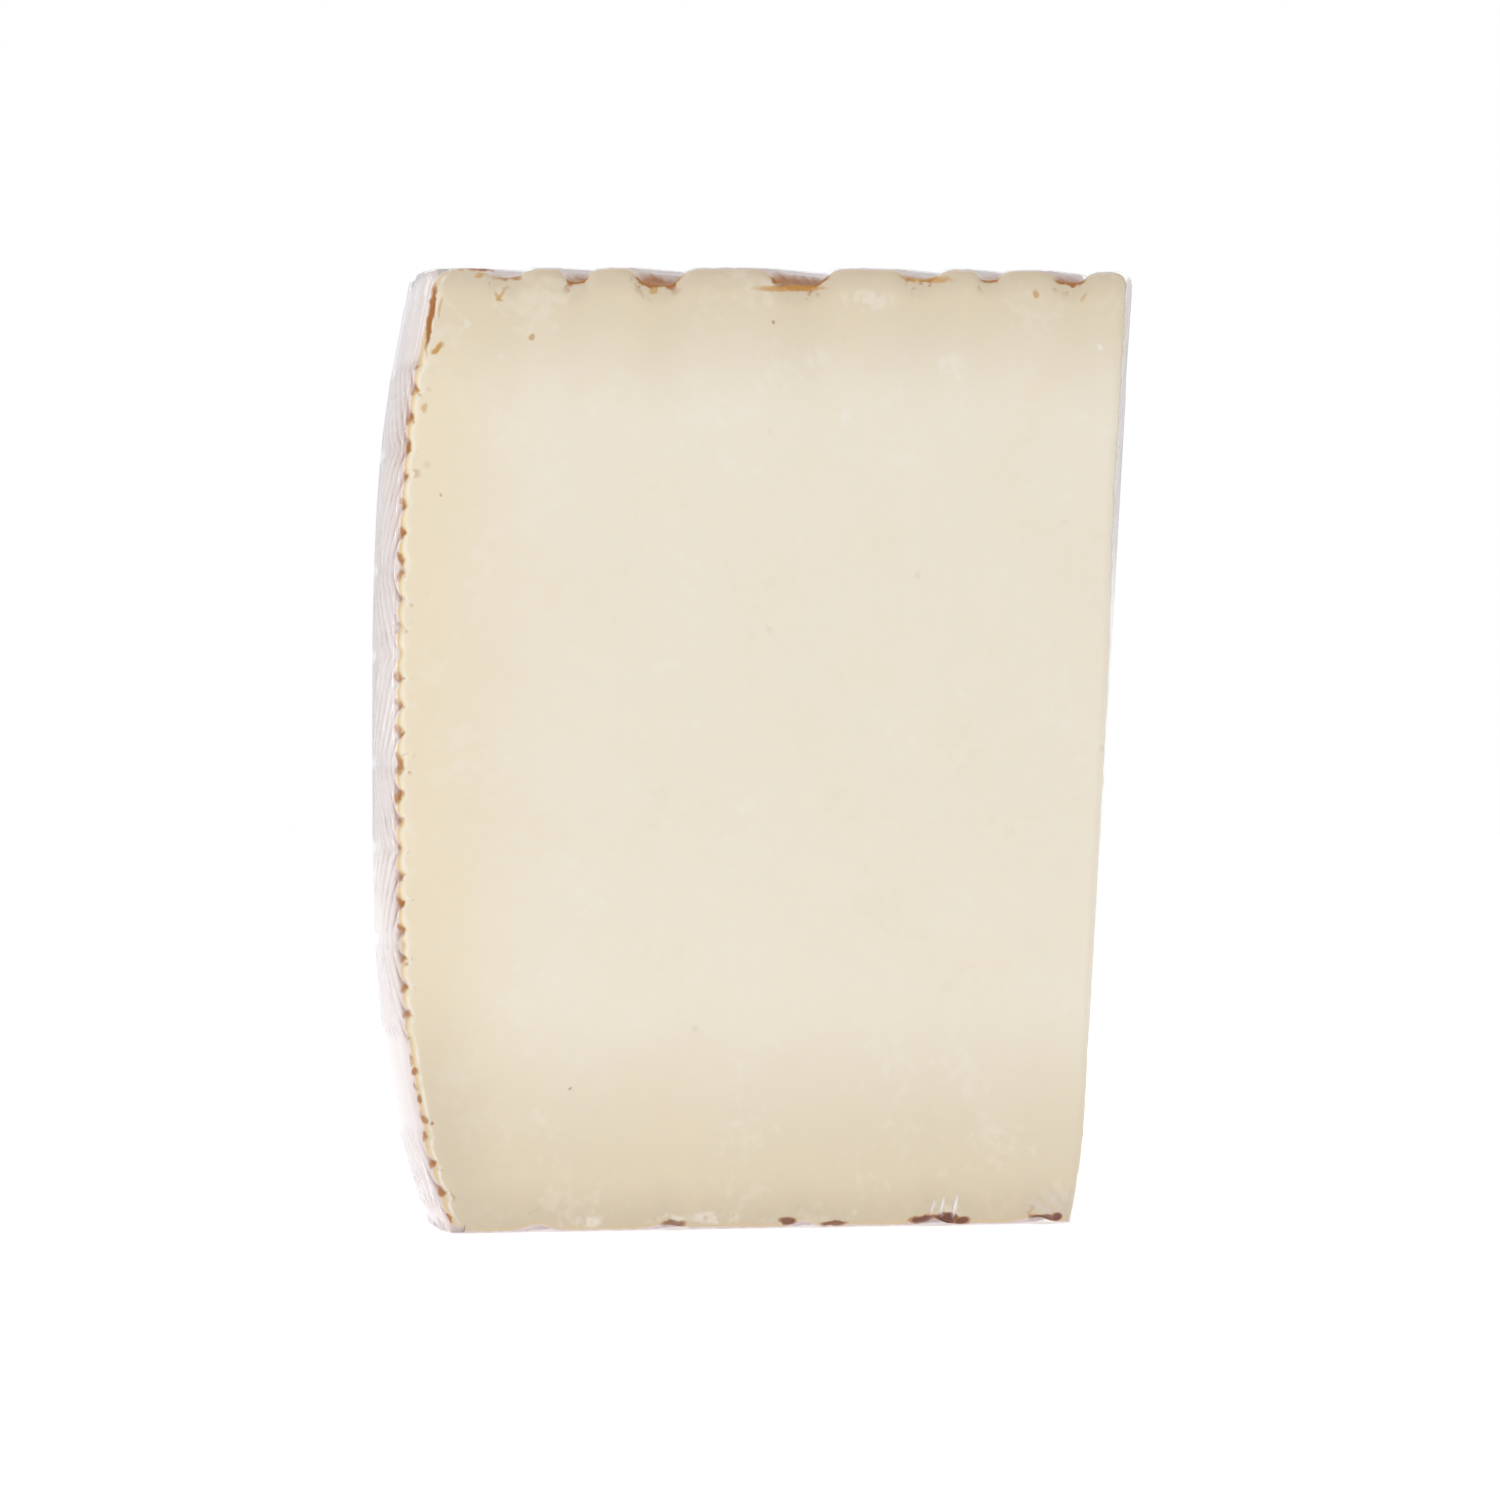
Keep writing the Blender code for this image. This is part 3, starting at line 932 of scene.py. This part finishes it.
def pasteColour(tree, v, specks, mark):
    fromRind, fromEnds, patches, stray = v["fromRind"], v["fromEnds"], v["patches"], v["stray"]
    wander = about(tree, v["cloud"], paste["fadeWander"])
    wall = plus(tree, v["fromWall"], wander)
    ends = plus(tree, fromEnds, times(tree, wander, 0.6))
    body = mixColour(tree, rangeOf(tree, wall, *paste["wallFade"]), paste["nearWall"], paste["core"])
    # darker towards the upper and lower faces: partly the paste's own tone, partly painted shade
    body = mixColour(tree, rangeOf(tree, ends, *paste["endsFade"]), paste["nearEndsAndShade"], body)
    body = mixColour(tree, rangeOf(tree, fromEnds, *paste["edgeFade"]), paste["atEndsAndShade"], body)
    darker = times(tree, rangeOf(tree, patches, 0.50, 0.70), paste["patchShare"])
    body = mixColour(tree, darker, body, paste["patch"])
    paler = times(tree, rangeOf(tree, patches, 0.47, 0.34), paste["paleShare"])
    body = mixColour(tree, paler, body, paste["pale"])
    # painted shade low in the corner by the wall, near the floor
    lowDown = rangeOf(tree, v["height"], paste["cornerShadeHeight"], 0.0)
    cornerShade = times(tree, lowDown, rangeOf(tree, wall, paste["cornerShadeReach"], 0.0))
    body = mixColour(tree, times(tree, cornerShade, paste["cornerShadeShare"]), body, paste["atEndsAndShade"])
    dots = placeGroup(tree, specks, v["place"], Scale=210.0, Size=0.16, Share=0.10)
    body = mixColour(tree, times(tree, dots, paste["speckShare"]), body, paste["speck"])

    # a painted highlight: a thin pale glint beside the golden line, where the film rounds the edge, and the
    # line itself
    paintedGlint = times(tree, rangeOf(tree, fromRind, 0.65, 0.9), rangeOf(tree, fromRind, 1.25, 1.0))
    uneven = rangeOf(tree, stray, 0.4, 0.6, 0.2, 0.6)
    paintedGlint = times(tree, paintedGlint, times(tree, v["byWall"], uneven))
    body = mixColour(tree, paintedGlint, body, paste["pale"])
    byWall = maths(tree, "MAXIMUM", v["byWall"], 0.25)
    line = times(tree, rangeOf(tree, fromRind, *paste["lineWidth"]), byWall)
    body = mixColour(tree, line, body, paste["rindLine"])

    # brown flecks and stains under the grooves
    flecks = times(tree, rangeOf(tree, stray, 0.57, 0.66), rangeOf(tree, fromRind, 2.6, 0.7))
    flecks = times(tree, flecks, rangeOf(tree, v["groove"], 0.15, 0.5, 0.0, 0.5))
    body = mixColour(tree, flecks, body, paste["stain"])
    width = plus(tree, plus(tree, times(tree, v["cloud"], 1.1), 0.25), about(tree, stray, 2.2))
    near = maths(tree, "SUBTRACT", 1.0, maths(tree, "DIVIDE", fromRind, width), clamp=True)
    stain = times(tree, rangeOf(tree, near, 0.0, 0.5), rangeOf(tree, v["groove"], 0.30, 0.75))
    stain = times(tree, stain, rangeOf(tree, fromEnds, 4.0, 2.0))
    body = mixColour(tree, stain, body, paste["stain"])
    # the film's sheen, painted on the paste in soft whitish places, broken up
    broken = rangeOf(tree, stray, 0.38, 0.58)
    return addMarks(tree, mark, v["strayed"], places["paintedSheenMarks"], body, paste["pale"], broken)


# Pale strands and leaves with brown left in the grooves; their pale is partly the film's sheen painted in,
# and painted shade greys them low down
def rindColour(tree, v, fibre):
    look = rindLook
    cloud = v["cloud"]
    outer = mixColour(tree, rangeOf(tree, cloud, 0.35, 0.7), look["crest"], look["shade"])
    streaks = times(tree, rangeOf(tree, fibre, 0.45, 0.75), look["fibreShare"])
    outer = mixColour(tree, streaks, outer, look["shade"])
    # painted shade greys the rind low down, along with the strands' own tones
    low = rangeOf(tree, v["height"], *look["lowShadeHeights"], 0.0, look["lowShadeShare"])
    each = maths(tree, "MAXIMUM", times(tree, v["tone"], look["toneShare"]), low)
    outer = mixColour(tree, each, outer, look["strand"])
    browned = plus(tree, v["groove"], about(tree, cloud, look["brownUneven"]))
    uneven = about(tree, v["patches"], times(tree, v["onLeaf"], look["leafUneven"]))
    browned = plus(tree, plus(tree, browned, uneven), times(tree, v["byWall"], look["wallBrown"]))
    hollow = mixColour(tree, v["onLeaf"], look["groove"], look["leafGroove"])
    return mixColour(tree, rangeOf(tree, browned, *look["brownRange"]), outer, hollow)


def addSpots(tree, v, colour):
    reach = tree.nodes.new("ShaderNodeCombineXYZ")
    for socket, name, size in zip(reach.inputs, ("spotAway", "fromRind", "cutDepth"), spots["size"]):
        link(tree, maths(tree, "DIVIDE", v[name], size), socket)
    length = tree.nodes.new("ShaderNodeVectorMath")
    length.operation = "LENGTH"
    link(tree, reach.outputs[0], length.inputs[0])
    frayed = plus(tree, length.outputs["Value"], about(tree, v["stray"], spots["fray"]))
    frayed = plus(tree, frayed, times(tree, v["tone"], spots["differ"]))
    strong = rangeOf(tree, v["cloud"], 0.35, 0.6, 0.65, 1.0)
    spot = times(tree, rangeOf(tree, frayed, *spots["edge"]), strong)
    colour = mixColour(tree, spot, colour, paste["stain"])
    strong = rangeOf(tree, v["cloud"], 0.45, 0.6, 0.0, 0.5)
    heart = times(tree, rangeOf(tree, frayed, *spots["heart"]), strong)
    return mixColour(tree, heart, colour, paste["deepStain"])


def makeCheeseMaterial(mottle, specks, mark):
    print("cheese material")
    material = bpy.data.materials.new("wrappedCheese")
    tree = nodeTree(material)
    v = cheeseValues(tree, mottle)
    stretched = tree.nodes.new("ShaderNodeMapping")
    stretched.inputs["Scale"].default_value = rindLook["fibre"]
    link(tree, v["weave"], stretched.inputs["Vector"])
    fibre = tree.nodes.new("ShaderNodeTexNoise")
    put(fibre, "Scale", 1.0)
    put(fibre, "Detail", 4.0)
    link(tree, stretched.outputs["Vector"], fibre.inputs["Vector"])
    body = pasteColour(tree, v, specks, mark)
    outer = rindColour(tree, v, fibre.outputs["Fac"])
    colour = mixColour(tree, rangeOf(tree, v["onRind"], 0.35, 0.65), body, outer)
    colour = addSpots(tree, v, colour)
    colour = addMarks(tree, mark, v["strayed"], places["flecks"], colour, paste["fleck"])
    colour = addMarks(tree, mark, v["strayed"], places["marks"], colour, paste["stain"])
    colour = addMarks(
        tree, mark, v["strayed"], places["blobs"], colour, paste["deepStain"], fringe=paste["stain"])

    shader = tree.nodes.new("ShaderNodeBsdfPrincipled")
    link(tree, colour, shader.inputs["Base Color"])
    rough = rangeOf(tree, v["patches"], 0.3, 0.8, paste["roughness"] - 0.06, paste["roughness"] + 0.08)
    link(tree, rough, shader.inputs["Roughness"])
    put(shader, "Subsurface Weight", 0.15)
    put(shader, "Subsurface Radius", (1.0, 0.85, 0.65))
    put(shader, "Subsurface Scale", paste["scatter"])
    put(shader, "Specular IOR Level", 0.2)

    height = plus(tree, times(tree, fibre.outputs["Fac"], v["onRind"]), times(tree, v["patches"], 0.3))
    bump = tree.nodes.new("ShaderNodeBump")
    put(bump, "Strength", 0.5)
    put(bump, "Distance", 0.00022)
    link(tree, height, bump.inputs["Height"])
    link(tree, bump.outputs["Normal"], shader.inputs["Normal"])
    end = tree.nodes.new("ShaderNodeOutputMaterial")
    link(tree, shader.outputs[0], end.inputs["Surface"])
    return material


filmLook = {
    "tint": (0.97, 0.965, 0.985),  # of its gloss
    # the film's whitish cloud, also painted on its folds as their highlight
    "hazeAndHighlight": srgb(252, 250, 250),
    "tipHaze": srgb(205, 196, 201),
    "ior": 1.5,
    "roughness": 0.12,
    "veil": 0.008,  # how cloudy the film is all over
    # the folds painted whitish as their highlight
    "ridgeHighlight": 0.75,
    "tipVeil": 0.55,
}


def makeFilmMaterial(mottle):
    print("film material")
    material = bpy.data.materials.new("tightClearFilm")
    tree = nodeTree(material)
    place = tree.nodes.new("ShaderNodeTexCoord").outputs["Object"]
    ridge = attribute(tree, "ridge")
    atTip = attribute(tree, "atTip")
    ripples = placeGroup(tree, mottle, place, Patch_Scale=70.0, Fine_Scale=260.0, Fine_Share=0.4)
    bump = tree.nodes.new("ShaderNodeBump")
    put(bump, "Strength", 0.3)
    put(bump, "Distance", 0.0003)
    link(tree, ripples, bump.inputs["Height"])
    see = tree.nodes.new("ShaderNodeBsdfTransparent")
    put(see, "Color", (1, 1, 1, 1))
    mirror = tree.nodes.new("ShaderNodeBsdfGlossy")
    put(mirror, "Color", (*filmLook["tint"], 1))
    rough = rangeOf(tree, ripples, 0.3, 0.7, filmLook["roughness"] - 0.04, filmLook["roughness"] + 0.06)
    link(tree, rough, mirror.inputs["Roughness"])
    link(tree, bump.outputs["Normal"], mirror.inputs["Normal"])
    cloudy = tree.nodes.new("ShaderNodeBsdfPrincipled")
    link(tree, mixColour(tree, atTip, filmLook["hazeAndHighlight"], filmLook["tipHaze"]), cloudy.inputs["Base Color"])
    put(cloudy, "Roughness", 0.4)
    fresnel = tree.nodes.new("ShaderNodeFresnel")
    put(fresnel, "IOR", filmLook["ior"])
    first = tree.nodes.new("ShaderNodeMixShader")
    inside = tree.nodes.new("ShaderNodeNewGeometry").outputs["Backfacing"]
    outside = maths(tree, "SUBTRACT", 1.0, inside)
    link(tree, times(tree, fresnel.outputs[0], outside), first.inputs[0])
    link(tree, see.outputs[0], first.inputs[1])
    link(tree, mirror.outputs[0], first.inputs[2])
    # the folds are painted whitish as their highlight, over a faint cloudiness all over and a grey haze at
    # the tip
    amount = plus(tree, times(tree, ridge, filmLook["ridgeHighlight"]), filmLook["veil"])
    amount = plus(tree, amount, times(tree, atTip, filmLook["tipVeil"]), clamp=True)
    second = tree.nodes.new("ShaderNodeMixShader")
    link(tree, amount, second.inputs[0])
    link(tree, first.outputs[0], second.inputs[1])
    link(tree, cloudy.outputs[0], second.inputs[2])
    end = tree.nodes.new("ShaderNodeOutputMaterial")
    link(tree, second.outputs[0], end.inputs["Surface"])
    return material


# Studio

studio = {
    "floorSize": 6.0,
    "floor": (0.95, 0.95, 0.95),
    "glow": 0.39,  # keeps the floor as white as the room behind it
    "world": 0.645,
    "shine": 0.78,  # the room as it shows in the film's gloss
    "key": 1.4,
    "side": 2.8,
    "back": 1.2,
}
camera = {
    "azimuth": math.radians(-11.6),
    "distance": 0.720,
    "aside": -0.0022,
    "height": 0.0595,
    "lens": 139.1,
    "sensor": 36,
}


def makeFloor():
    deselectAll()
    bpy.ops.mesh.primitive_plane_add(size=studio["floorSize"], location=(0, 0, 0))
    floor = bpy.context.active_object
    floor.name = "floor"
    material = bpy.data.materials.new("paleFloor")
    tree = nodeTree(material)
    shader = tree.nodes.new("ShaderNodeBsdfPrincipled")
    put(shader, "Base Color", (*studio["floor"], 1))
    put(shader, "Roughness", 0.8)
    put(shader, "Emission Color", (1, 1, 1, 1))
    put(shader, "Emission Strength", studio["glow"])
    end = tree.nodes.new("ShaderNodeOutputMaterial")
    link(tree, shader.outputs[0], end.inputs["Surface"])
    floor.data.materials.append(material)


def makeLight(name, place, aim, size, power):
    data = bpy.data.lights.new(name, "AREA")
    data.shape = "RECTANGLE"
    data.size, data.size_y = size
    data.energy = power
    lamp = bpy.data.objects.new(name, data)
    bpy.context.scene.collection.objects.link(lamp)
    lamp.location = place
    lamp.rotation_euler = (Vector(aim) - Vector(place)).to_track_quat("-Z", "Y").to_euler()
    return lamp


def makeStudio():
    print("studio")
    makeFloor()
    makeLight("softTop", (-0.25, -0.35, 0.95), (0, 0, 0.05), (0.9, 0.9), studio["key"])
    makeLight("stripBack", (-0.75, 0.85, 0.25), (0, 0, 0.06), (0.18, 0.9), studio["back"])
    makeLight("softLeft", (-1.0, -0.35, 0.25), (0, 0, 0.06), (0.35, 0.9), studio["side"])
    world = bpy.data.worlds.new("whiteRoom")
    world.use_nodes = True
    tree = world.node_tree
    tree.nodes.clear()
    room = tree.nodes.new("ShaderNodeBackground")
    put(room, "Color", (1, 1, 1, 1))
    put(room, "Strength", studio["world"])
    backdrop = tree.nodes.new("ShaderNodeBackground")
    put(backdrop, "Color", (1, 1, 1, 1))
    put(backdrop, "Strength", 1.0)
    shine = tree.nodes.new("ShaderNodeBackground")
    put(shine, "Color", (1, 0.985, 1, 1))
    put(shine, "Strength", studio["shine"])
    ray = tree.nodes.new("ShaderNodeLightPath")
    gloss = tree.nodes.new("ShaderNodeMixShader")
    link(tree, ray.outputs["Is Glossy Ray"], gloss.inputs[0])
    link(tree, room.outputs[0], gloss.inputs[1])
    link(tree, shine.outputs[0], gloss.inputs[2])
    mix = tree.nodes.new("ShaderNodeMixShader")
    link(tree, ray.outputs["Is Camera Ray"], mix.inputs[0])
    link(tree, gloss.outputs[0], mix.inputs[1])
    link(tree, backdrop.outputs[0], mix.inputs[2])
    end = tree.nodes.new("ShaderNodeOutputWorld")
    link(tree, mix.outputs[0], end.inputs["Surface"])
    bpy.context.scene.world = world
    bpy.context.scene.view_settings.view_transform = "Standard"


def makeCamera():
    turn = camera["azimuth"]
    ahead = Vector((-math.sin(turn), math.cos(turn), 0))
    right = Vector((math.cos(turn), math.sin(turn), 0))
    data = bpy.data.cameras.new("camera")
    data.lens = camera["lens"]
    data.sensor_width = camera["sensor"]
    view = bpy.data.objects.new("camera", data)
    bpy.context.scene.collection.objects.link(view)
    aim = Vector((0, frontY, camera["height"]))
    view.location = aim - ahead * camera["distance"] + right * camera["aside"]
    view.rotation_euler = ahead.to_track_quat("-Z", "Y").to_euler()
    bpy.context.scene.camera = view


makeCamera()
mottle = makeMottleGroup()
specks = makeSpeckGroup()
cheeseBody = makeCheese()
cheeseBody.data.materials.append(makeCheeseMaterial(mottle, specks, makeMarkGroup()))
clearFilm = makeFilm()
clearFilm.data.materials.append(makeFilmMaterial(mottle))
for piece in (cheeseBody, clearFilm):
    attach(piece, "root")
    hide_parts(solidName)
makeStudio()
